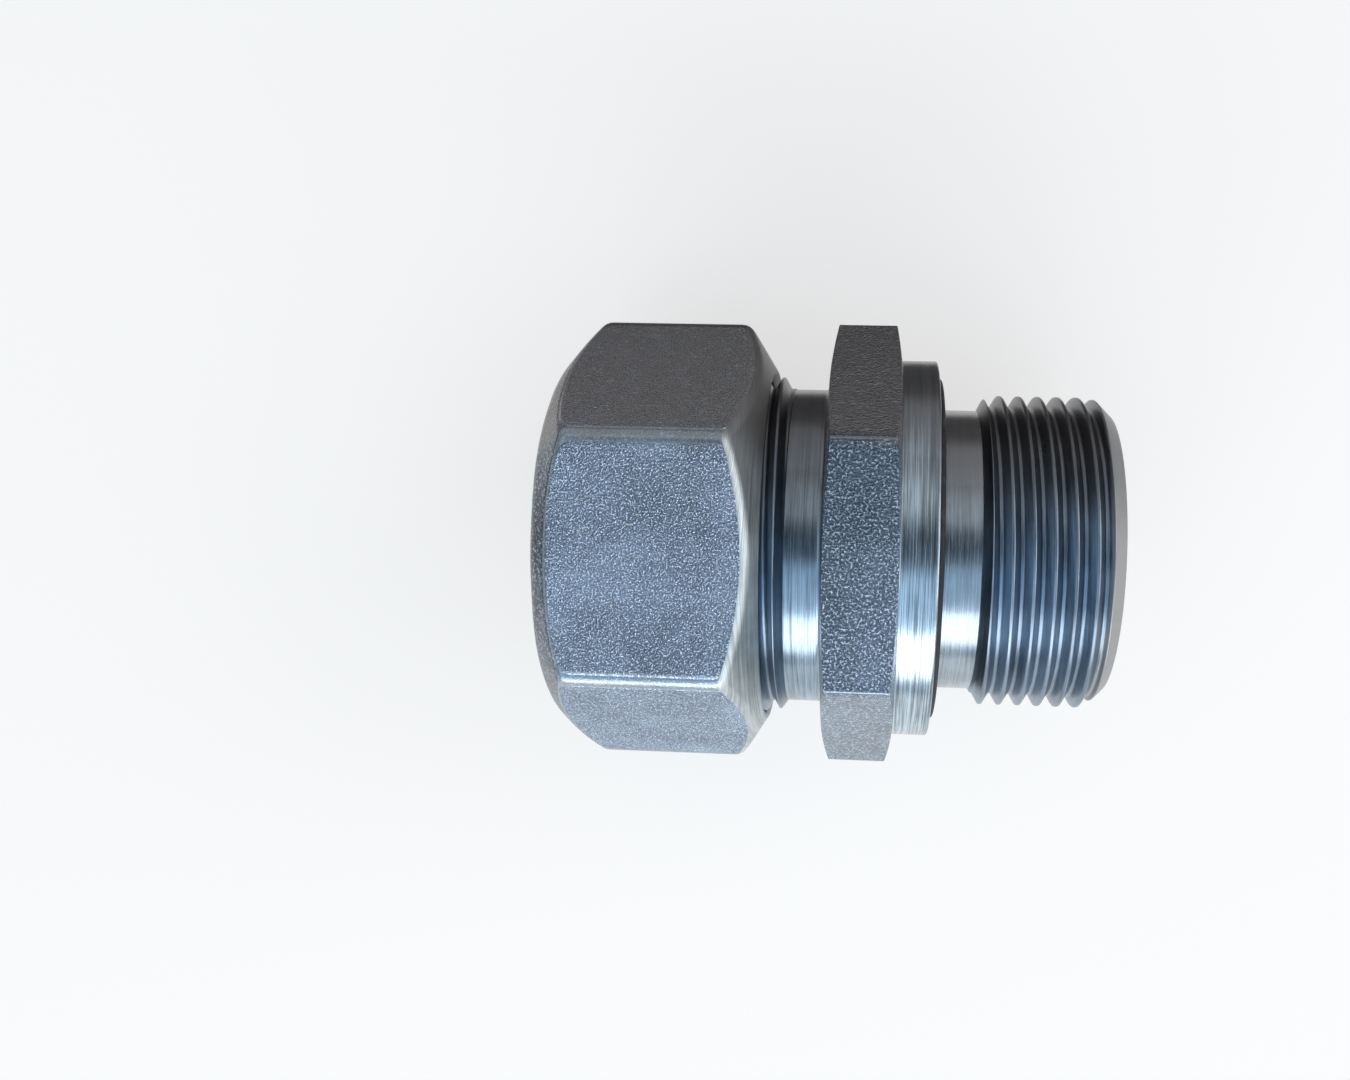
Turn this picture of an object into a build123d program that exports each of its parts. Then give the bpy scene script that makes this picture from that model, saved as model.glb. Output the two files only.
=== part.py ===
from build123d import *
from math import ceil, cos, radians, sin, tan
import os

# Straight male stud coupling for 28 mm hydraulic tube: a 24 degree cone end with its union nut
# and cutting ring, and a parallel stud with a captive elastomer face seal.
# X runs along the tube, positive toward the stud. The origin is the centre of the sealing face.
# Both hexagons have a flat facing +Z and a flat facing -Z.

# Threads: ISO metric form
flank_angle = 30.0
external_depth_ratio = 0.6134  # of the pitch
internal_depth_ratio = 0.5413  # of the pitch
crest_flat_ratio = 0.125  # of the pitch
stud_diameter = 33.0
stud_pitch = 2.0
tube_thread_diameter = 36.0
tube_pitch = 2.0
thread_clearance = 0.13  # between the flanks of nut and body, and over their crests
stud_crest_x = 6.62  # where a crest passes straight over the axis, toward +Y
tube_crest_x = -16.1
tool_overlap = 0.1  # how far a thread cutter stands clear of the blank

# Stud
stud_length = 18.0
stud_chamfer = 1.8
undercut_depth = 1.65  # below the crests
undercut_length = 4.35
undercut_runout = 0.85

# Collar with the seal's groove
collar_length = 3.7
collar_edge = 0.3
collar_lip = 1.7  # collar wall outside the groove
seal_groove_width = 3.4
seal_groove_depth = 2.0
seal_stand_out = 0.55
seal_edge_bevel = 0.35
seal_clearance = 0.05

# Body hexagon and the neck behind it
body_across_flats = 41.0
body_hex_length = 7.25
hex_face_diameter = 40.4
hex_face_angle = 9.0
neck_length = 3.8
neck_undersize = 0.05  # below the thread's root
neck_bevel = 0.5
thread_lead_in = 0.9

# Tube end: 24 degree cone, socket and through bore
body_length_to_tube_end = 30.5
tube_end_chamfer = 1.3
cone_mouth_diameter = 30.3
cone_half_angle = 12.0
socket_diameter = 28.2
socket_depth = 7.5
bore_diameter = 24.0
bore_edge = 0.6

# Cutting ring
ring_bore_diameter = 28.3
ring_length = 8.7
ring_entry = 2.9  # how far it reaches into the cone
ring_band_diameter = 32.4
ring_band_length = 1.1
ring_rear_diameter = 29.8
ring_cutting_edges = 2
ring_edge_spacing = 1.7
ring_edge_depth = 0.35
ring_edge_width = 0.9
seat_clearance = 0.15  # ring to cone and ring to nut

# Union nut
nut_across_flats = 41.0
nut_length = 22.0
nut_corner_radius = 1.2
nut_bore_diameter = 28.6
nut_land = 1.8
nut_cone_angle = 45.0
nut_front_diameter = 37.4
nut_front_angle = 32.0
nut_back_diameter = 37.3
nut_back_angle = 36.0
nut_rim_radius = 3.0
nut_thread_length = 14.5
nut_relief_width = 2.0
nut_mouth_diameter = 37.0
nut_mouth_length = 1.0
nut_back_edge = 0.5

AXIS_PLANE = Plane(origin=(0, 0, 0), x_dir=(0, 1, 0), z_dir=(1, 0, 0))

stud_radius = stud_diameter / 2
undercut_radius = stud_radius - undercut_depth
groove_radius = undercut_radius + seal_groove_width
collar_radius = groove_radius + collar_lip
tube_radius = tube_thread_diameter / 2
tube_root_radius = tube_radius - external_depth_ratio * tube_pitch
neck_radius = tube_root_radius - neck_undersize

hex_front_x = -collar_length
hex_back_x = hex_front_x - body_hex_length
neck_end_x = hex_back_x - neck_length
thread_start_x = neck_end_x - thread_lead_in
tube_end_x = -body_length_to_tube_end
tube_stop_x = tube_end_x + socket_depth
cone_length = (cone_mouth_diameter - socket_diameter) / 2 / tan(radians(cone_half_angle))

ring_front_x = tube_end_x + ring_entry
ring_rear_x = ring_front_x - ring_length
nut_cone_shift = seat_clearance / sin(radians(nut_cone_angle))
nut_bore_x = ring_rear_x - nut_cone_shift - (
    (ring_rear_diameter - nut_bore_diameter) / 2 / tan(radians(nut_cone_angle))
)
nut_back_x = nut_bore_x - nut_land
nut_front_x = nut_back_x + nut_length
nut_thread_radius = tube_radius - internal_depth_ratio * tube_pitch


def turned(points):
    """A solid of revolution about X from (x, radius) corners."""
    return revolve(Plane.XY * Polygon(*points, align=None), Axis.X)


def hexagon(across_flats, x_from, x_to, corner_radius=0):
    """A hexagonal bar along X, with flats facing +Z and -Z."""
    outline = RegularPolygon(across_flats / 2, 6, major_radius=False)
    if corner_radius:
        outline = fillet(outline.vertices(), corner_radius)
    start = AXIS_PLANE.offset(x_from)
    return extrude(start * outline, x_to - x_from)


def half_groove(radius, pitch, diameter):
    """Half the width of an external thread's groove at a radius."""
    at_crest = pitch * (1 - crest_flat_ratio) / 2
    return at_crest - (diameter / 2 - radius) * tan(radians(flank_angle))


def groove_turn(x, pitch, inner, outer, half_inner, half_outer):
    """One turn of a helical cutter, its middle crossing the +Y side at x."""
    corners = [
        (inner, -half_inner),
        (inner, half_inner),
        (outer, half_outer),
        (outer, -half_outer),
    ]
    coils = [Edge.make_helix(pitch, pitch, radius, center=(0, 0, shift)) for radius, shift in corners]
    sides = [Face.make_surface_from_curves(coils[i], coils[(i + 1) % 4]) for i in range(4)]
    ends = [Face(Wire.make_polygon([coil @ end for coil in coils])) for end in (0, 1)]
    turn = Solid(Shell(sides + ends))
    return turn.moved(AXIS_PLANE.offset(x).location)


def groove_turns(x_from, x_to, passes_x, pitch, inner, outer, half_inner, half_outer):
    """Turns of a cutter from x_from to x_to or just past it, in step with passes_x."""
    first = passes_x + pitch * ceil((x_from - passes_x) / pitch)
    count = ceil((x_to - first) / pitch)
    return [
        groove_turn(first + pitch * i, pitch, inner, outer, half_inner, half_outer)
        for i in range(count)
    ]


def external_cutters(x_from, x_to, diameter, pitch, crest_x):
    """Cutters for an external thread, with a crest crossing the +Y side at crest_x."""
    root = diameter / 2 - external_depth_ratio * pitch
    outer = diameter / 2 + tool_overlap
    half_root = half_groove(root, pitch, diameter)
    half_outer = half_groove(outer, pitch, diameter)
    return groove_turns(x_from, x_to, crest_x + pitch / 2, pitch, root, outer, half_root, half_outer)


def internal_cutters(x_from, x_to, diameter, pitch, crest_x, clearance):
    """Cutters for the nut thread that runs on that external one with a flank clearance."""
    inner = diameter / 2 - internal_depth_ratio * pitch - tool_overlap
    outer = diameter / 2 + clearance
    widened = clearance / cos(radians(flank_angle))
    half_inner = pitch / 2 - half_groove(inner, pitch, diameter) + widened
    half_outer = pitch / 2 - half_groove(outer, pitch, diameter) + widened
    return groove_turns(x_from, x_to, crest_x, pitch, inner, outer, half_inner, half_outer)


def stud_body():
    """The turned body: stud, collar, hexagon, neck and cone end, bored through."""
    stud = turned([
        (hex_front_x, 0),
        (hex_front_x, undercut_radius),
        (undercut_length, undercut_radius),
        (undercut_length + undercut_runout, stud_radius),
        (stud_length - stud_chamfer, stud_radius),
        (stud_length, stud_radius - stud_chamfer),
        (stud_length, 0),
    ])
    collar = turned([
        (hex_front_x - collar_edge, 0),
        (hex_front_x - collar_edge, collar_radius),
        (-collar_edge, collar_radius),
        (0, collar_radius - collar_edge),
        (0, groove_radius),
        (-seal_groove_depth, groove_radius),
        (-seal_groove_depth, 0),
    ])
    tube_end = turned([
        (hex_back_x + collar_edge, 0),
        (hex_back_x + collar_edge, neck_radius + neck_bevel),
        (hex_back_x, neck_radius + neck_bevel),
        (hex_back_x - neck_bevel, neck_radius),
        (neck_end_x, neck_radius),
        (thread_start_x, tube_radius),
        (tube_end_x + tube_end_chamfer, tube_radius),
        (tube_end_x, tube_radius - tube_end_chamfer),
        (tube_end_x, 0),
    ])
    across_corners = body_across_flats / cos(radians(30))
    face_fall = (across_corners - hex_face_diameter) / 2 * tan(radians(hex_face_angle))
    hex_ends = turned([
        (hex_front_x, 0),
        (hex_front_x, hex_face_diameter / 2),
        (hex_front_x - face_fall, across_corners / 2),
        (hex_back_x + face_fall, across_corners / 2),
        (hex_back_x, hex_face_diameter / 2),
        (hex_back_x, 0),
    ])
    wrench_hex = hexagon(body_across_flats, hex_back_x, hex_front_x) & hex_ends
    body = wrench_hex + collar + stud + tube_end
    body = body.cut(*external_cutters(
        undercut_length - stud_pitch, stud_length + stud_pitch, stud_diameter, stud_pitch, stud_crest_x
    ))
    body = body.cut(*external_cutters(
        tube_end_x - tube_pitch, thread_start_x, tube_thread_diameter, tube_pitch, tube_crest_x
    ))
    waterway = turned([
        (tube_end_x, 0),
        (tube_end_x, cone_mouth_diameter / 2),
        (tube_end_x + cone_length, socket_diameter / 2),
        (tube_stop_x, socket_diameter / 2),
        (tube_stop_x, bore_diameter / 2),
        (stud_length - bore_edge, bore_diameter / 2),
        (stud_length, bore_diameter / 2 + bore_edge),
        (stud_length, 0),
    ])
    return body - waterway


def face_seal_ring():
    """The elastomer ring, bedded in its groove and standing a little proud of the collar."""
    section = Plane.XY * Polygon(
        (-seal_groove_depth, undercut_radius + seal_clearance),
        (-seal_groove_depth, groove_radius - seal_clearance),
        (seal_stand_out, groove_radius - seal_clearance),
        (seal_stand_out, undercut_radius + seal_clearance),
        align=None,
    )
    proud = section.vertices().filter_by(lambda corner: corner.X > 0)
    return revolve(chamfer(proud, seal_edge_bevel), Axis.X)


def cutting_ring():
    """The hardened ring: a 12 degree nose in the body's cone and a rear cone in the nut's."""
    slope = tan(radians(cone_half_angle))
    nose_gap = seat_clearance / cos(radians(cone_half_angle))
    nose_radius = cone_mouth_diameter / 2 - ring_entry * slope - nose_gap
    rear_radius = ring_rear_diameter / 2
    band_radius = ring_band_diameter / 2
    band_rear_x = ring_rear_x + (band_radius - rear_radius) / tan(radians(nut_cone_angle))
    band_front_x = band_rear_x + ring_band_length
    ring = turned([
        (ring_front_x, ring_bore_diameter / 2),
        (ring_front_x, nose_radius),
        (band_front_x, nose_radius + (ring_front_x - band_front_x) * slope),
        (band_front_x, band_radius),
        (band_rear_x, band_radius),
        (ring_rear_x, rear_radius),
        (ring_rear_x, ring_bore_diameter / 2),
    ])
    for i in range(ring_cutting_edges):
        edge_x = ring_front_x - ring_edge_spacing * (i + 1)
        ring -= turned([
            (edge_x, ring_bore_diameter / 2 - ring_edge_depth),
            (edge_x, ring_bore_diameter / 2 + ring_edge_depth),
            (edge_x + ring_edge_width, ring_bore_diameter / 2),
            (edge_x + ring_edge_width, ring_bore_diameter / 2 - ring_edge_depth),
        ])
    return ring


def union_nut():
    """The forged nut: rounded corners, a coned front, a crowned back and its inner thread."""
    across_corners = nut_across_flats / cos(radians(30))
    front_fall = (across_corners - nut_front_diameter) / 2 * tan(radians(nut_front_angle))
    back_fall = (across_corners - nut_back_diameter) / 2 * tan(radians(nut_back_angle))
    crown = Plane.XY * Polygon(
        (nut_front_x, 0),
        (nut_front_x, nut_front_diameter / 2),
        (nut_front_x - front_fall, across_corners / 2),
        (nut_back_x + back_fall, across_corners / 2),
        (nut_back_x, nut_back_diameter / 2),
        (nut_back_x, 0),
        align=None,
    )
    rim = crown.vertices().filter_by(
        lambda corner: corner.Y > 0 and corner.X < nut_back_x + 0.001
    )
    blank = revolve(fillet(rim, nut_rim_radius), Axis.X)
    nut = hexagon(nut_across_flats, nut_back_x, nut_front_x, nut_corner_radius) & blank
    relief_radius = tube_radius + thread_clearance + tool_overlap
    relief_x = nut_front_x - nut_thread_length
    cone_x = nut_bore_x + (nut_thread_radius - nut_bore_diameter / 2) / tan(radians(nut_cone_angle))
    nut -= turned([
        (nut_front_x, 0),
        (nut_front_x, nut_mouth_diameter / 2),
        (nut_front_x - nut_mouth_length, nut_thread_radius),
        (relief_x, nut_thread_radius),
        (relief_x, relief_radius),
        (relief_x - nut_relief_width, relief_radius),
        (relief_x - nut_relief_width, nut_thread_radius),
        (cone_x, nut_thread_radius),
        (nut_bore_x, nut_bore_diameter / 2),
        (nut_back_x + nut_back_edge, nut_bore_diameter / 2),
        (nut_back_x, nut_bore_diameter / 2 + nut_back_edge),
        (nut_back_x, 0),
    ])
    return nut.cut(*internal_cutters(
        relief_x - nut_relief_width / 2, nut_front_x + tube_pitch,
        tube_thread_diameter, tube_pitch, tube_crest_x, thread_clearance,
    ))


pieces = {
    "stud_body": stud_body(),
    "face_seal_ring": face_seal_ring(),
    "cutting_ring": cutting_ring(),
    "union_nut": union_nut(),
}

os.makedirs("parts", exist_ok=True)
for name, piece in pieces.items():
    piece.label = name
    export_step(piece, f"parts/{name}.step")
    print(name, "volume", round(piece.volume, 1), "valid", piece.is_valid)
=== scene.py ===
from math import atan, cos, degrees, pi, radians, sin, sqrt, tan

import bmesh
import bpy
import numpy as np
from mathutils import Matrix, Vector


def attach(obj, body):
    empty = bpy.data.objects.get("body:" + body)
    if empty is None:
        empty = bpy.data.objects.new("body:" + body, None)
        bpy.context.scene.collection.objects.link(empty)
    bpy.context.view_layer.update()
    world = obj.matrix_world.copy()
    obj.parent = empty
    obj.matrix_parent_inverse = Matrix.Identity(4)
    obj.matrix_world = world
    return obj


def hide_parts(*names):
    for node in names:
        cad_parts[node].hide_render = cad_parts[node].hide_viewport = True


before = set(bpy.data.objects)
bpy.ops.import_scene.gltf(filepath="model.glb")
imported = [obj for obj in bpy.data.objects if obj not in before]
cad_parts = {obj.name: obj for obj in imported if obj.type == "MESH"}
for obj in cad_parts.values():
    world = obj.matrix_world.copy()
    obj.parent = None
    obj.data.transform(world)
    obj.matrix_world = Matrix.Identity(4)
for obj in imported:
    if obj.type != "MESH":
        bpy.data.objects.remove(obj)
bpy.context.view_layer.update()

# Coupling body: hexagon, collar, seal groove, undercut and neck, turned from one forged steel bar.
# The hexagon keeps the grain of the forging; every turned face shows the marks of the tool.
# It is zinc plated and passivated, which leaves it a bluish white.
MM = 0.001
column_step = 2.0
body_across_flats = 41.0
body_corner_radius = 0.22
hex_face_radius = 20.2
hex_face_slope = tan(radians(9.0))
hex_front_x, hex_back_x = -3.7, -10.95
collar_radius, groove_radius, undercut_radius = 19.95, 18.25, 14.85
groove_floor_x = -2.0
bore_radius = 12.0
neck_radius, neck_end_x = 16.723, -14.75
flank_start_x = 4.35


def hexagon_radius(angle, across_flats, corner_radius):
    """Distance from the axis to a hexagon with eased corners and a flat facing +Z."""
    from_flat = (degrees(angle) - 90 + 30) % 60 - 30
    flat = across_flats / 2
    tangent = degrees(atan((flat - corner_radius) * tan(pi / 6) / flat))
    if abs(from_flat) <= tangent:
        return flat / cos(radians(from_flat))
    centre = (flat - corner_radius) / cos(pi / 6)
    off = radians(30 - abs(from_flat))
    return centre * cos(off) + sqrt(corner_radius ** 2 - (centre * sin(off)) ** 2)


def hexagon_angles(across_flats, corner_radius):
    """Column angles: even steps, with more of them round each corner."""
    flat = across_flats / 2
    span = 30 - degrees(atan((flat - corner_radius) * tan(pi / 6) / flat))
    near = [share * span for share in (-1, -0.75, -0.5, -0.25, 0, 0.25, 0.5, 0.75, 1)]
    near += [-span - 0.25, span + 0.25]
    corners = [60 * turn + off for turn in range(6) for off in near]
    even = [
        column_step * i for i in range(int(360 / column_step))
        if abs((column_step * i + 30) % 60 - 30) > span + 0.5
    ]
    return np.radians(sorted(set(round(a % 360, 5) for a in corners + even)))


def eased(corners, steps=4):
    """A closed outline from (x, radius, easing) corners, each rounded between two outer points."""
    points = []
    for i, (x, r, easing) in enumerate(corners):
        here = np.array([x, r])
        back = np.array(corners[i - 1][:2]) - here
        ahead = np.array(corners[(i + 1) % len(corners)][:2]) - here
        length_back, length_ahead = np.hypot(*back), np.hypot(*ahead)
        back, ahead = back / length_back, ahead / length_ahead
        half = 0.5 * np.arccos(np.clip(back @ ahead, -1, 1))
        reach = min(easing / tan(half), 0.42 * length_back, 0.42 * length_ahead)
        radius = reach * tan(half)
        middle = here + (back + ahead) / np.hypot(*(back + ahead)) * radius / sin(half)
        first, last = here + back * reach - middle, here + ahead * reach - middle
        turn = pi - 2 * half
        margin_back = min(0.06, 0.07 * length_back)
        margin_ahead = min(0.06, 0.07 * length_ahead)
        points.append(here + back * (reach + margin_back))
        for k in range(steps + 1):
            a, b = sin(turn * (1 - k / steps)), sin(turn * k / steps)
            points.append(middle + (a * first + b * last) / sin(turn))
        points.append(here + ahead * (reach + margin_ahead))
    return points


def columns_mesh(name, angles, outline_at, finish_at, steps=4):
    """A closed ring of columns round X. finish_at gives a band's material by its first corner."""
    rings = np.array([eased(outline_at(angle), steps) for angle in angles])
    count, rows = rings.shape[:2]
    x, r = rings[..., 0] * MM, rings[..., 1] * MM
    co = np.stack([x, r * np.cos(angles)[:, None], r * np.sin(angles)[:, None]], -1).reshape(-1, 3)
    faces, finishes = [], []
    for i in range(count):
        for j in range(rows):
            k, after = (i + 1) % count, (j + 1) % rows
            faces.append((i * rows + j, k * rows + j, k * rows + after, i * rows + after))
            finishes.append(finish_at[(j + steps // 2 + 1) // (steps + 3) - 1])
    mesh = bpy.data.meshes.new(name)
    mesh.from_pydata(co.tolist(), [], faces)
    mesh.polygons.foreach_set("material_index", finishes)
    mesh.polygons.foreach_set("use_smooth", [True] * len(faces))
    obj = bpy.data.objects.new(name, mesh)
    bpy.context.scene.collection.objects.link(obj)
    outward(obj)
    return obj


def outward(obj):
    """Merges doubles and turns every face of a closed mesh outwards."""
    work = bmesh.new()
    work.from_mesh(obj.data)
    bmesh.ops.remove_doubles(work, verts=work.verts, dist=1e-7)
    bmesh.ops.dissolve_degenerate(work, edges=work.edges, dist=1e-7)
    bmesh.ops.recalc_face_normals(work, faces=work.faces)
    work.to_mesh(obj.data)
    work.free()


class Term:
    """A node socket in an expression; each operator adds its Math node."""

    def __init__(self, tree, socket):
        self.tree, self.socket = tree, socket

    def maths(self, operation, *values):
        return self.tree.add("ShaderNodeMath", {"operation": operation}, dict(enumerate(values)))

    def __add__(self, other):
        return self.maths("ADD", self, other)

    def __sub__(self, other):
        return self.maths("SUBTRACT", self, other)

    def __mul__(self, other):
        return self.maths("MULTIPLY", self, other)

    def __truediv__(self, other):
        return self.maths("DIVIDE", self, other)

    def __pow__(self, other):
        return self.maths("POWER", self, other)

    def __rsub__(self, other):
        return self.maths("SUBTRACT", other, self)

    def __neg__(self):
        return self.maths("MULTIPLY", self, -1)

    __radd__ = __add__
    __rmul__ = __mul__

    def between(self, low, high):
        """0 at low, 1 at high, eased between."""
        settings = {"interpolation_type": "SMOOTHSTEP"}
        return self.tree.add("ShaderNodeMapRange", settings, {0: self, 1: low, 2: high})


class Tree:
    """A node tree that is written as expressions."""

    def __init__(self, nodes_of):
        self.nodes, self.links = nodes_of.nodes, nodes_of.links

    def add(self, kind, settings, values, output=0):
        node = self.nodes.new(kind)
        for key, value in settings.items():
            setattr(node, key, value)
        for key, value in values.items():
            if isinstance(value, Term):
                self.links.new(value.socket, node.inputs[key])
            else:
                node.inputs[key].default_value = value
        return Term(self, node.outputs[output])

    def noise(self, vector, scale, detail=2.0, roughness=0.5):
        return self.add("ShaderNodeTexNoise", {}, {
            "Vector": vector, "Scale": scale, "Detail": detail, "Roughness": roughness})

    def blend(self, share, first, second):
        settings = {"data_type": "RGBA"}
        return self.add("ShaderNodeMix", settings, {0: share, 6: first, 7: second}, output=2)

    def vector(self, x, y, z):
        return self.add("ShaderNodeCombineXYZ", {}, {0: x, 1: y, 2: z})


class Finish(Tree):
    """A metal or rubber finish: one Principled shader, fed from Object coordinates."""

    def __init__(self, name, metallic, **constants):
        self.material = bpy.data.materials.new(name)
        self.material.use_nodes = True
        super().__init__(self.material.node_tree)
        self.shader = self.nodes["Principled BSDF"]
        self.shader.inputs["Metallic"].default_value = metallic
        for key, value in constants.items():
            self.shader.inputs[key.replace("_", " ")].default_value = value
        self.place = self.add("ShaderNodeTexCoord", {}, {}, output="Object")
        split = self.add("ShaderNodeSeparateXYZ", {}, {0: self.place}).socket.node
        self.x, self.y, self.z = (Term(self, split.outputs[i]) for i in range(3))
        self.r = (self.y * self.y + self.z * self.z) ** 0.5

    def feed(self, **sockets):
        for key, term in sockets.items():
            self.links.new(term.socket, self.shader.inputs[key.replace("_", " ")])

    def relief(self, height, depth):
        bump = {"Strength": 1.0, "Distance": depth, "Height": height}
        self.feed(Normal=self.add("ShaderNodeBump", {}, bump))

    def tool_marks(self, pitch, around=1.5, detail=3.0):
        """Fine rings left by turning: tight along the profile, long round the axis."""
        along = (self.x - self.r) / pitch
        ring = self.vector(along, self.y / self.r * around, self.z / self.r * around)
        return self.noise(ring, 1.0, detail, 0.6)


def shade(colour, factor):
    return tuple(channel * factor for channel in colour) + (1,)


def painted_shade_side(finish, metal, low, high, tone):
    """The metal, painted a darker brownish grey of that tone on its +Y side, past y / r of low to
    high: painted shade.
    """
    edge = finish.y / finish.r + (finish.noise(finish.place, 260.0, 3.0) - 0.5) * 0.15
    grey = shade((1.0, 0.91, 0.88), tone)
    return finish.blend(edge.between(low, high) * 0.85, metal, grey)


def turned_zinc(
        name, colour, contrast=1.0, roughness=0.12, painted_shade_band=(0.5, 0.82, 0.13), fresh_from=1.0):
    """Plated steel straight from the lathe: fine rings, a few deeper ones and faint stains.

    The painted shade band says where shade painted on the +Y side starts and ends, and its tone.
    Past an x of fresh_from it is freshly cut.
    """
    zinc = Finish(name, 1.0)
    fine = zinc.tool_marks(0.00014, around=2.0)
    deep = zinc.tool_marks(0.0005, around=1.0)
    bands = zinc.tool_marks(0.0025, around=0.6, detail=1.0)
    stain = zinc.noise(zinc.place, 150.0, 4.0, 0.6)
    rings = (fine - 0.5) * 1.7 + (deep - 0.5) * 0.9 + (bands - 0.5) * 0.5
    tone = 0.5 + rings * contrast + (stain - 0.5) * 0.6
    metal = zinc.blend(tone.between(0.1, 0.9), shade(colour, 0.5), shade(colour, 1.4))
    fresh = (zinc.x + 0.0006 * stain).between(fresh_from, fresh_from + 0.0001)
    # Painted shade on the +Y side, then the freshly cut end in plain steel.
    metal = zinc.blend(fresh, painted_shade_side(zinc, metal, *painted_shade_band), (0.37, 0.37, 0.37, 1))
    zinc.feed(Base_Color=metal, Roughness=roughness + 0.12 * stain + 0.1 * fine + 0.15 * fresh)
    zinc.relief(fine * 0.7 + deep, 0.00003)
    return zinc.material


def forged_zinc(
        name, colour, grain, depth, roughness, painted_shade_band, wear_and_painted_light_at, painted_glint=0.1, extra_painted_shade=0.0):
    """Plated steel over a blasted forging: a pebbled grain that glitters, with glints also painted
    on its tops, rubbed off the edges.

    grain and depth are the pebbles' size in metres. The wear mask gives 1 where they are gone,
    rubbed off, and can also carry light painted on one side.
    """
    zinc = Finish(name, 1.0)
    lumps = zinc.noise(zinc.place, 1 / grain, 2.0, 0.55)
    fine = zinc.noise(zinc.place, 2.7 / grain, 1.0, 0.5)
    cloud = zinc.noise(zinc.place, 110.0, 3.0, 0.6)
    along = zinc.vector(zinc.x * 900, zinc.y * 5200, zinc.z * 5200)
    nicks = zinc.noise(along, 1.0, 1.0).between(0.69, 0.72)
    wear_and_painted_light = wear_and_painted_light_at(zinc).between(0.8, 1.0)
    height = lumps + 0.25 * fine
    glint = height.between(0.62, 0.82)
    tone = 0.45 * glint + 0.4 * cloud
    metal = zinc.blend(tone.between(0.1, 0.6), shade(colour, 0.36), shade(colour, 1.75))
    # Painted shade: the metal darkens further towards +Y, by the share given for it.
    extra_shade_mask = (zinc.y / zinc.r).between(-0.5, 0.5) * extra_painted_shade
    metal = zinc.blend(extra_shade_mask, metal, (0.01, 0.018, 0.028, 1))
    # Painted glints: a pale colour on the tops of the pebbles.
    metal = zinc.blend(glint * painted_glint, metal, (0.6, 0.7, 0.78, 1))
    # Rubbed plating goes paler; on the hexagon's -Y side this paler zinc is painted light.
    metal = zinc.blend(wear_and_painted_light * 0.6, metal, (0.42, 0.47, 0.5, 1))
    # Painted shade on the +Y side: a darker brownish grey.
    metal = painted_shade_side(zinc, metal, *painted_shade_band)
    zinc.feed(
        Base_Color=zinc.blend(nicks * 0.5, metal, (0.7, 0.74, 0.78, 1)),
        Roughness=roughness + 0.1 * cloud - 0.06 * glint,
    )
    zinc.relief((height - 0.2 * nicks) * (1 - 0.9 * wear_and_painted_light), depth)
    return zinc.material


neck_finish = turned_zinc("zinc_turned_neck", (0.27, 0.34, 0.4), 0.8, painted_shade_band=(0.0, 0.8, 0.18))
collar_finish = turned_zinc("zinc_turned_collar", (0.42, 0.5, 0.56), 1.4, painted_shade_band=(0.3, 0.75, 0.2))
undercut_finish = turned_zinc(
    "zinc_turned_undercut", (0.36, 0.42, 0.47), 0.4, painted_shade_band=(0.2, 0.7, 0.25))
hex_worn_radius, hex_worn_width = 23.3375, 0.25


def hex_wear_and_painted_light(zinc):
    """Nears 1 at the hexagon's corners, where the plating is rubbed, and is part of that on the
    side that faces -Y, where it is painted light.
    """
    # Painted light: the side that faces -Y is made paler, as if rubbed.
    low = (-zinc.y / zinc.r).between(0.45, 0.55) * 0.9
    corner = (zinc.r / MM - hex_worn_radius) / hex_worn_width
    return low.maths("MAXIMUM", low, corner)


hex_finish = forged_zinc(
    "zinc_forged_hex", (0.25, 0.33, 0.44), 0.00025, 0.00036, 0.18, (0.46, 0.58, 0.3), hex_wear_and_painted_light,
    painted_glint=0.35, extra_painted_shade=0.6,
)


def body_outline(angle):
    """The body between the tube thread and the stud thread, cut along one column."""
    rim = hexagon_radius(angle, body_across_flats, body_corner_radius)
    fall = (rim - hex_face_radius) * hex_face_slope
    return [
        (flank_start_x, bore_radius, 0),
        (flank_start_x, undercut_radius, 0),
        (groove_floor_x, undercut_radius, 0),
        (groove_floor_x, groove_radius, 0),
        (0, groove_radius, 0.08),
        (0, collar_radius, 0.22),
        (hex_front_x, collar_radius, 0.1),
        (hex_front_x, hex_face_radius, 0.15),
        (hex_front_x - fall, rim, 0.12),
        (hex_back_x + fall, rim, 0.12),
        (hex_back_x, hex_face_radius, 0.15),
        (hex_back_x, neck_radius, 0.6),
        (neck_end_x, neck_radius, 0),
        (neck_end_x, bore_radius, 0),
    ]


body = columns_mesh(
    "coupling_body", hexagon_angles(body_across_flats, body_corner_radius), body_outline,
    [2, 3, 3] + [2] * 4 + [1] * 3 + [0] * 4,
)
for finish in (neck_finish, hex_finish, collar_finish, undercut_finish):
    body.data.materials.append(finish)
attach(body, "stud")
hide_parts("stud_body")

# Stud thread: a parallel metric thread cut on the stud, with its end face and the bore behind it.
# The crests and roots are eased as a chaser leaves them, and both ends run out on cones.
# The tube thread on the other end is cut the same way and carries the union nut.
thread_columns = 180
thread_pitch = 2.0
thread_easing = 0.16
vee_rise = 0.2165
stud_end_x, stud_end_radius = 18.0, 14.7
stud_mouth_x, stud_mouth_radius = 17.4, 12.6
tube_end_x, tube_end_radius = -30.5, 16.7
tube_crest_x = -16.1
socket_foot_x, socket_mouth_x, socket_radius = -23.0, -25.56, 14.1
cone_mouth_radius = 15.15


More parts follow.
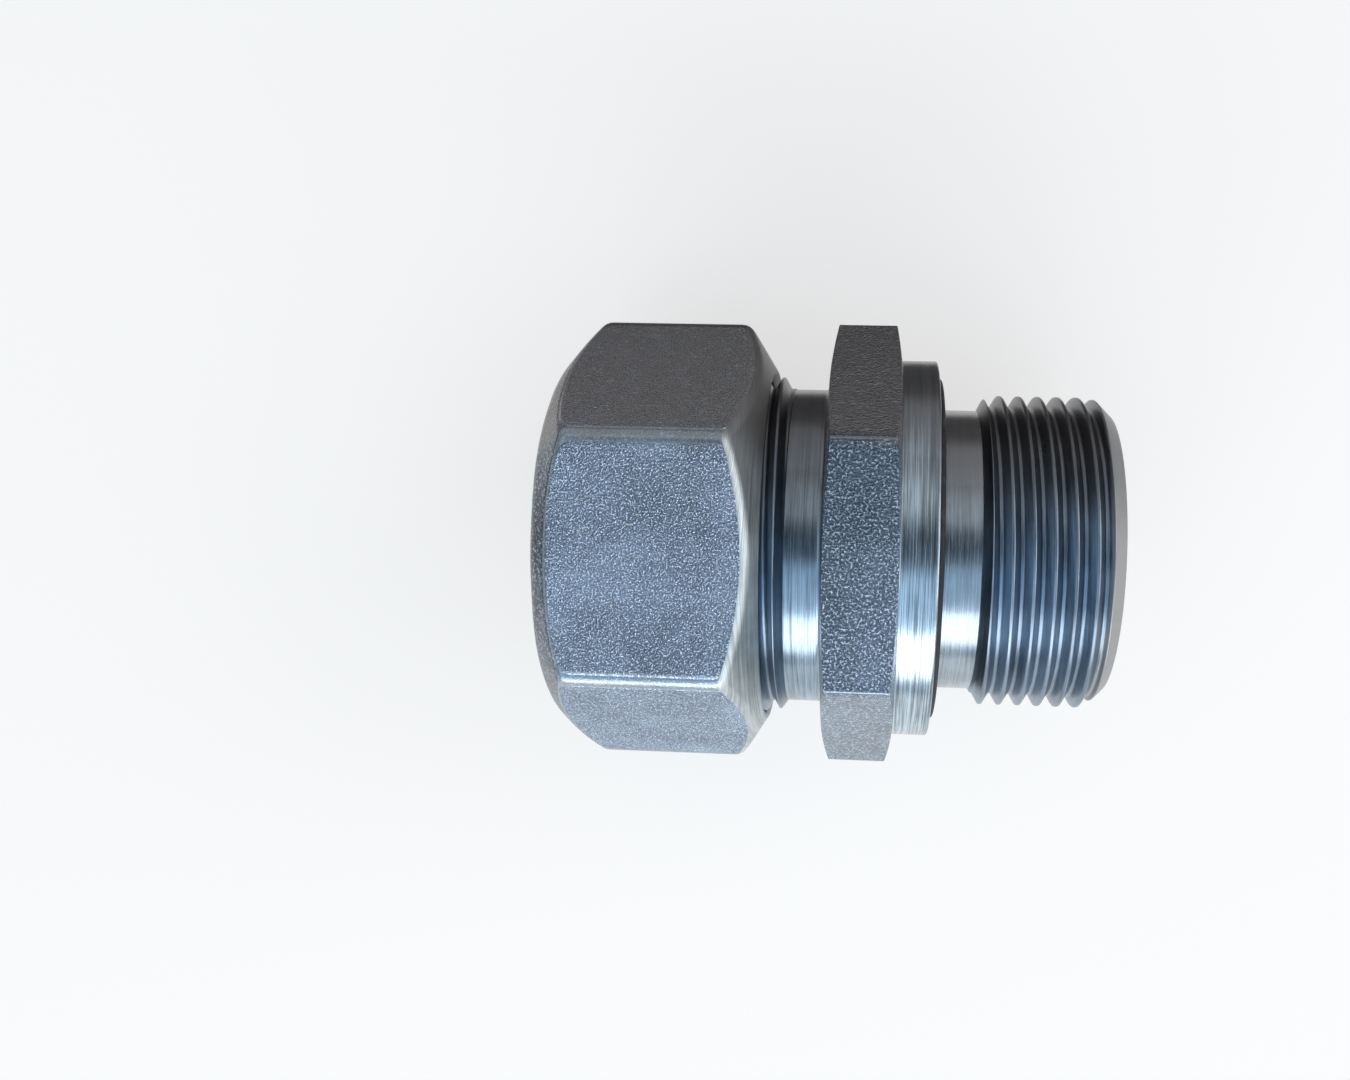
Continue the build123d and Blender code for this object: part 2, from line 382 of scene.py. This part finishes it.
def thread_tree():
    """Geometry Nodes for one threaded skin round X, along the helix, between two end cones."""
    tree = bpy.data.node_groups.new("thread_skin", "GeometryNodeTree")
    tree.interface.new_socket("Geometry", in_out="OUTPUT", socket_type="NodeSocketGeometry")
    names = ["Pitch", "Crest radius", "Root radius", "Flank radius", "Side", "Crest place",
             "Start", "End", "Start radius", "End radius", "Start slope", "End slope", "Easing"]
    for name in names:
        tree.interface.new_socket(name, in_out="INPUT", socket_type="NodeSocketFloat")
    for name in ("Columns", "Rows a turn"):
        tree.interface.new_socket(name, in_out="INPUT", socket_type="NodeSocketInt")
    tree.interface.new_socket("Material", in_out="INPUT", socket_type="NodeSocketMaterial")
    nodes = Tree(tree)
    given = tree.nodes.new("NodeGroupInput")
    size = {name: Term(nodes, given.outputs[name]) for name in names}
    columns = Term(nodes, given.outputs["Columns"])
    per_turn = Term(nodes, given.outputs["Rows a turn"])
    pitch, side = size["Pitch"], size["Side"]
    rows = ((size["End"] - size["Start"]) / pitch + 1) * per_turn
    rows = rows.maths("CEIL", rows) + 1
    grid = nodes.add("GeometryNodeMeshGrid", {}, {"Vertices X": columns + 1, "Vertices Y": rows})
    index = nodes.add("GeometryNodeInputIndex", {}, {})
    column = index.maths("FLOOR", (index + 0.5) / rows)
    row = index - column * rows
    turn = column / columns
    along = size["Start"] + pitch * (row / per_turn - 1)
    phase = (along - size["Crest place"]) / pitch
    from_crest = phase.maths("ABSOLUTE", phase - phase.maths("ROUND", phase)) * pitch
    flank = size["Flank radius"] - from_crest / tan(radians(30))
    soft = size["Easing"]
    crest = flank.maths("SMOOTH_MIN", flank, size["Crest radius"], soft)
    profile = flank.maths("SMOOTH_MAX", crest, size["Root radius"], soft)
    x = along + pitch * turn
    x = x.maths("MINIMUM", x.maths("MAXIMUM", x, size["Start"]), size["End"])
    start_cone = side * size["Start radius"] + size["Start slope"] * (x - size["Start"])
    end_cone = side * size["End radius"] + size["End slope"] * (size["End"] - x)
    cones = x.maths("MINIMUM", start_cone, end_cone)
    radius = side * x.maths("SMOOTH_MIN", side * profile, cones, soft * 0.3)
    ends = x.maths("COMPARE", x, size["Start"], 1e-7) + x.maths("COMPARE", x, size["End"], 1e-7)
    radius = radius * (1 - ends) + side * cones * ends
    angle = turn * (2 * pi)
    place = nodes.vector(
        x, radius * angle.maths("COSINE", angle), radius * angle.maths("SINE", angle))
    skin = nodes.add("GeometryNodeSetPosition", {}, {"Geometry": grid, "Position": place})
    skin = nodes.add("GeometryNodeMergeByDistance", {}, {"Geometry": skin, "Distance": 2e-7})
    skin = nodes.add("GeometryNodeRealizeInstances", {}, {"Geometry": skin})
    material = Term(nodes, given.outputs["Material"])
    skin = nodes.add("GeometryNodeSetMaterial", {}, {"Geometry": skin, "Material": material})
    result = tree.nodes.new("NodeGroupOutput")
    tree.links.new(skin.socket, result.inputs["Geometry"])
    return tree


thread_skin = thread_tree()


def threaded(name, sizes, closing, finish):
    """A closed threaded sleeve: the helical skin, and a turned outline that closes it."""
    holder = bpy.data.objects.new(name, bpy.data.meshes.new(name))
    bpy.context.scene.collection.objects.link(holder)
    nodes = holder.modifiers.new("thread", "NODES")
    nodes.node_group = thread_skin
    inputs = (s for s in thread_skin.interface.items_tree if s.in_out == "INPUT")
    sockets = {s.name: s.identifier for s in inputs}
    for key, value in sizes.items():
        nodes[sockets[key]] = value
    nodes[sockets["Material"]] = finish
    graph = bpy.context.evaluated_depsgraph_get()
    made = bpy.data.meshes.new_from_object(holder.evaluated_get(graph))
    holder.modifiers.remove(nodes)
    work = bmesh.new()
    work.from_mesh(made)
    angles = np.linspace(0, 2 * pi, sizes["Columns"], endpoint=False)
    rings = [
        [work.verts.new((x * MM, r * MM * cos(a), r * MM * sin(a))) for a in angles]
        for x, r in closing
    ]
    for near, far in zip(rings, rings[1:]):
        for i in range(len(angles)):
            k = (i + 1) % len(angles)
            work.faces.new((near[i], near[k], far[k], far[i]))
    bmesh.ops.remove_doubles(work, verts=work.verts, dist=2e-6)
    bmesh.ops.recalc_face_normals(work, faces=work.faces)
    for face in work.faces:
        face.smooth = True
    work.to_mesh(holder.data)
    work.free()
    holder.data.materials.clear()
    holder.data.materials.append(finish)
    return holder


def bead(x, r, from_x, from_r, to_x, to_r, easing, steps=4):
    """The points of one eased corner of an open outline."""
    triangle = [(from_x, from_r, 0), (x, r, easing), (to_x, to_r, 0)]
    return eased(triangle, steps)[steps + 3:2 * (steps + 3)]


thread_finish = turned_zinc("zinc_thread", (0.22, 0.28, 0.35), 0.5, 0.2, (0.1, 0.8, 0.15), 0.0166)
stud_thread = threaded(
    "stud_thread",
    {"Pitch": thread_pitch * MM, "Crest radius": 16.47 * MM, "Root radius": 15.3 * MM,
     "Flank radius": (16.5 + vee_rise) * MM, "Side": 1.0, "Crest place": 6.62 * MM,
     "Start": flank_start_x * MM, "End": stud_end_x * MM, "Start radius": undercut_radius * MM,
     "End radius": stud_end_radius * MM, "Start slope": 1.65 / 0.85, "End slope": 1.0,
     "Easing": thread_easing * MM, "Columns": thread_columns, "Rows a turn": 32},
    [(stud_end_x, stud_end_radius)]
    + bead(stud_end_x, stud_mouth_radius, stud_end_x, stud_end_radius,
           stud_mouth_x, bore_radius, 0.15)
    + bead(stud_mouth_x, bore_radius, stud_end_x, stud_mouth_radius,
           bore_radius, bore_radius, 0.15)
    + [(flank_start_x, bore_radius), (flank_start_x, undercut_radius)],
    thread_finish,
)
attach(stud_thread, "stud")
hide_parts("stud_body")

tube_thread = threaded(
    "tube_thread",
    {"Pitch": thread_pitch * MM, "Crest radius": 17.97 * MM, "Root radius": 16.8 * MM,
     "Flank radius": (18 + vee_rise) * MM, "Side": 1.0, "Crest place": tube_crest_x * MM,
     "Start": tube_end_x * MM, "End": neck_end_x * MM, "Start radius": tube_end_radius * MM,
     "End radius": neck_radius * MM, "Start slope": 1.0, "End slope": 1.277 / 0.9,
     "Easing": thread_easing * MM, "Columns": thread_columns, "Rows a turn": 20},
    [(neck_end_x, neck_radius), (neck_end_x, bore_radius), (socket_foot_x, bore_radius),
     (socket_foot_x, socket_radius), (socket_mouth_x, socket_radius)]
    + bead(tube_end_x, cone_mouth_radius, socket_mouth_x, socket_radius,
           tube_end_x, tube_end_radius, 0.1)
    + [(tube_end_x, tube_end_radius)],
    thread_finish,
)
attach(tube_thread, "stud")
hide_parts("stud_body")

# Face seal: a moulded rubber ring pressed into the collar's groove.
# It stands a little proud, so that the port face squeezes it flat when the stud is screwed home.
# Its edges are eased by the mould.
rubber = Finish("seal_rubber", 0.0, Specular_IOR_Level=0.4)
dust = rubber.noise(rubber.place, 900.0, 3.0)
rubber.feed(
    Base_Color=rubber.blend(dust.between(0.45, 0.8), (0.012, 0.012, 0.013, 1),
                            (0.04, 0.04, 0.043, 1)),
    Roughness=0.5 + 0.2 * dust,
)
rubber.relief(dust, 0.00001)
seal_inner_radius, seal_outer_radius, seal_face_x = 14.9, 18.2, 0.55
seal_outline = [
    (groove_floor_x, seal_inner_radius, 0.1),
    (seal_face_x, seal_inner_radius, 0.4),
    (seal_face_x, seal_outer_radius, 0.4),
    (groove_floor_x, seal_outer_radius, 0.1),
]
seal = columns_mesh(
    "face_seal", np.radians(np.arange(0, 360, column_step)), lambda angle: seal_outline, [0] * 4)
seal.data.materials.append(rubber.material)
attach(seal, "stud")
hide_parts("face_seal_ring")

# Union nut: a hot forging with softly rounded corners, coned in front and crowned behind.
# The wrench flats are as blasted, while the cones and the bore are turned.
# Its thread runs on the body's and draws the cutting ring into the cone.
nut_across_flats, nut_corner_radius = 41.0, 1.2
nut_front_x, nut_back_x = -16.912, -38.912
nut_front_radius, nut_back_radius = 18.7, 18.65
nut_front_slope, nut_back_slope, nut_back_bulge = tan(radians(32)), 0.636, 1.6
nut_bore_radius, nut_land_x, nut_cone_end_x = 14.3, -37.11, -34.5
nut_crest_radius, nut_relief_radius, nut_mouth_radius = 16.917, 18.23, 18.5
nut_relief_x, nut_thread_start = -33.412, -31.412
nut_thread_gap = 0.26
nut_worn_radius, nut_worn_width = 22.2, 1.1


def nut_wear(zinc):
    """Nears 1 at the nut's corners, at its front cone and at its crown, rounded where they meet."""
    x, r = zinc.x / MM, zinc.r / MM
    corner = (r - nut_worn_radius) / nut_worn_width
    cone_x = (nut_front_radius - r) * nut_front_slope + nut_front_x
    cone = 1 - (cone_x - x) / nut_worn_width
    fall = (r - nut_back_radius) * nut_back_slope
    crown = 1 - (x - nut_back_x - (fall ** 2 + nut_back_bulge ** 2) ** 0.5) / nut_worn_width
    parts = [part.maths("MAXIMUM", part, 0) ** 2 for part in (corner, cone, crown)]
    return (parts[0] + parts[1] + parts[2]) ** 0.5


nut_finish = forged_zinc(
    "zinc_forged_nut", (0.32, 0.41, 0.54), 0.00018, 0.0003, 0.24, (0.46, 0.58, 0.34), nut_wear,
    painted_glint=0.25)
# Painted shade: the crown's zinc is a darker copy of the flats', for the nut's back end.
nut_crown_shaded_finish = forged_zinc(
    "zinc_forged_crown_painted_shade", (0.16, 0.19, 0.23), 0.0003, 0.00005, 0.25, (0.46, 0.58, 0.2),
    lambda zinc: zinc.r * 0.0,
)
nut_cone_finish = turned_zinc(
    "zinc_turned_nut", (0.55, 0.6, 0.61), 0.5, 0.36, painted_shade_band=(0.3, 0.7, 0.28))


def nut_outline(angle):
    """The nut cut along one column."""
    rim = hexagon_radius(angle, nut_across_flats, nut_corner_radius)
    front_fall = (rim - nut_front_radius) * nut_front_slope
    back_fall = sqrt(((rim - nut_back_radius) * nut_back_slope) ** 2 + nut_back_bulge ** 2)
    return [
        (nut_front_x, nut_mouth_radius, 0.03),
        (nut_front_x, nut_front_radius, 0.1),
        (nut_front_x - front_fall, rim, 1.5),
        (nut_back_x + back_fall, rim, 1.4),
        (nut_back_x, nut_back_radius, 3.0),
        (nut_back_x, nut_bore_radius + 0.5, 0.1),
        (nut_back_x + 0.5, nut_bore_radius, 0.1),
        (nut_land_x, nut_bore_radius, 0),
        (nut_cone_end_x, nut_crest_radius, 0),
        (nut_relief_x, nut_crest_radius, 0),
        (nut_relief_x, nut_relief_radius, 0),
        (nut_thread_start, nut_relief_radius, 0),
        (nut_thread_start, nut_mouth_radius, 0),
    ]


nut = columns_mesh(
    "union_nut_shell", hexagon_angles(nut_across_flats, nut_corner_radius), nut_outline,
    [1, 1, 0, 2, 2] + [1] * 8,
)
for finish in (nut_finish, nut_cone_finish, nut_crown_shaded_finish):
    nut.data.materials.append(finish)
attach(nut, "nut")
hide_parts("union_nut")

nut_thread = threaded(
    "union_nut_thread",
    {"Pitch": thread_pitch * MM, "Crest radius": 18.13 * MM, "Root radius": nut_crest_radius * MM,
     "Flank radius": (18 + vee_rise + nut_thread_gap) * MM, "Side": -1.0,
     "Crest place": tube_crest_x * MM, "Start": nut_thread_start * MM, "End": nut_front_x * MM,
     "Start radius": nut_relief_radius * MM, "End radius": nut_mouth_radius * MM,
     "Start slope": 6.0, "End slope": 1.6, "Easing": 0.12 * MM, "Columns": 120, "Rows a turn": 20},
    [(nut_front_x, nut_mouth_radius), (nut_thread_start, nut_mouth_radius),
     (nut_thread_start, nut_relief_radius)],
    nut_cone_finish,
)
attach(nut_thread, "nut")
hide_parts("union_nut")

# Cutting ring: a hardened ring that slides on the tube between the nut and the body's cone.
# Its front edges bite into the tube when the nut is tightened.
# It is turned and phosphated dark, and only its rear shows down the nut's hole.
ring_finish = turned_zinc("ring_steel", (0.2, 0.2, 0.2))
for holder_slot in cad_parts["cutting_ring"].material_slots:
    holder_slot.material = ring_finish

# Studio: a pale table, a long low soft lamp in front of it and a second one at the stud's end.
# The room is dark overhead and dim behind, which draws the dark bands along the turned surfaces.
# The camera stands above the fitting and looks down on the flats that face up.
floor_z = -0.0205
floor_mesh = bpy.data.meshes.new("floor")
floor_mesh.from_pydata(
    [(-3, -3, floor_z), (3, -3, floor_z), (3, 3, floor_z), (-3, 3, floor_z)], [], [(0, 1, 2, 3)])
floor = bpy.data.objects.new("floor", floor_mesh)
bpy.context.scene.collection.objects.link(floor)
paper = Finish("paper", 0.0, Base_Color=(0.88, 0.85, 0.81, 1), Roughness=0.9)
rays = paper.nodes.new("ShaderNodeLightPath")
seen = Term(paper, rays.outputs["Is Camera Ray"])
for kind in ("Is Glossy Ray", "Is Transmission Ray"):
    seen = seen.maths("MAXIMUM", seen, Term(paper, rays.outputs[kind]))
white = paper.add("ShaderNodeEmission", {}, {"Color": (1, 1, 1, 1), "Strength": 1.0})
lit = Term(paper, paper.shader.outputs[0])
paper_white = 0.6
paper_mix = paper.add("ShaderNodeMixShader", {}, {0: seen * paper_white, 1: lit, 2: white})
paper.links.new(paper_mix.socket, paper.nodes["Material Output"].inputs["Surface"])
floor_mesh.materials.append(paper.material)

# A folded dark card lies and stands behind the fitting, and shows only in the metal's reflections:
# painted shade, unseen by the camera, by diffuse light and by shadows. It is dark at the foot,
# painted shade for the floor behind the fitting, and paler above.
card_mesh = bpy.data.meshes.new("shade_card")
card_profile = [(0.03, -0.0203), (0.06, -0.0203), (0.06, 0.045)]
card_mesh.from_pydata(
    [(x, y, z) for y, z in card_profile for x in (-0.3, 0.3)], [], [(0, 1, 3, 2), (2, 3, 5, 4)])
shade_card = bpy.data.objects.new("shade_card", card_mesh)
bpy.context.scene.collection.objects.link(shade_card)
tinted = Finish("shade_card", 0.0, Roughness=0.9)
tinted.feed(Base_Color=tinted.blend(
    tinted.z.between(-0.006, 0.008), (0.17, 0.157, 0.15, 1), (0.42, 0.42, 0.42, 1)))
card_mesh.materials.append(tinted.material)
shade_card.visible_camera = shade_card.visible_diffuse = shade_card.visible_shadow = False


def soft_lamp(name, place, size, power):
    lamp = bpy.data.lights.new(name, "AREA")
    lamp.shape = "RECTANGLE"
    lamp.size, lamp.size_y = size
    lamp.energy = power
    holder = bpy.data.objects.new(name, lamp)
    bpy.context.scene.collection.objects.link(holder)
    aim = Vector((-0.01, 0, 0)) - Vector(place)
    turn = aim.to_track_quat("-Z", "Y").to_matrix().to_4x4()
    holder.matrix_world = Matrix.Translation(place) @ turn


soft_lamp("long_lamp", (0.0, -0.68, 0.36), (1.6, 0.42), 6.5)
soft_lamp("end_lamp", (0.62, 0.1, 0.44), (0.8, 0.35), 1.8)
world = bpy.data.worlds.new("room")
bpy.context.scene.world = world
world.use_nodes = True
room = Tree(world.node_tree)
direction = room.add("ShaderNodeTexCoord", {}, {}, output="Generated")
split = room.add("ShaderNodeSeparateXYZ", {}, {0: direction}).socket.node
endward, toward, height = (Term(room, split.outputs[i]) for i in range(3))
front = (-toward).between(-0.35, 0.35)
walls = room.blend(front, (0.2, 0.19, 0.19, 1), (0.32, 0.4, 0.48, 1))
walls = room.blend(endward.between(0.6, 0.9), walls, (0.85, 0.82, 0.8, 1))
ring = room.blend(front, (0.6, 0.63, 0.66, 1), (0.62, 0.83, 1.05, 1))
ceiling = room.blend(height.between(0.35, 0.75), walls, ring)
overhead = height * cos(radians(7)) + toward * sin(radians(7))
ceiling = room.blend(overhead.between(0.93, 0.985), ceiling, (0.04, 0.055, 0.08, 1))
room.links.new(ceiling.socket, world.node_tree.nodes["Background"].inputs["Color"])

camera = bpy.data.cameras.new("camera")
camera.sensor_width = 36
camera.lens = 33.37
camera.shift_x, camera.shift_y = -0.085, 0.01946
camera.clip_start = 0.01
look = Vector((-0.064007, -0.10792, -0.992097)).normalized()
up = Vector((-0.029393, 0.993908, -0.10622))
right = look.cross(up).normalized()
up = right.cross(look)
turn = Matrix((right, up, -look)).transposed().to_4x4()
stand = bpy.data.objects.new("camera", camera)
bpy.context.scene.collection.objects.link(stand)
stand.matrix_world = Matrix.Translation((-0.006414, 0.012356, 0.135192)) @ turn
bpy.context.scene.camera = stand
bpy.context.scene.view_settings.view_transform = "Standard"
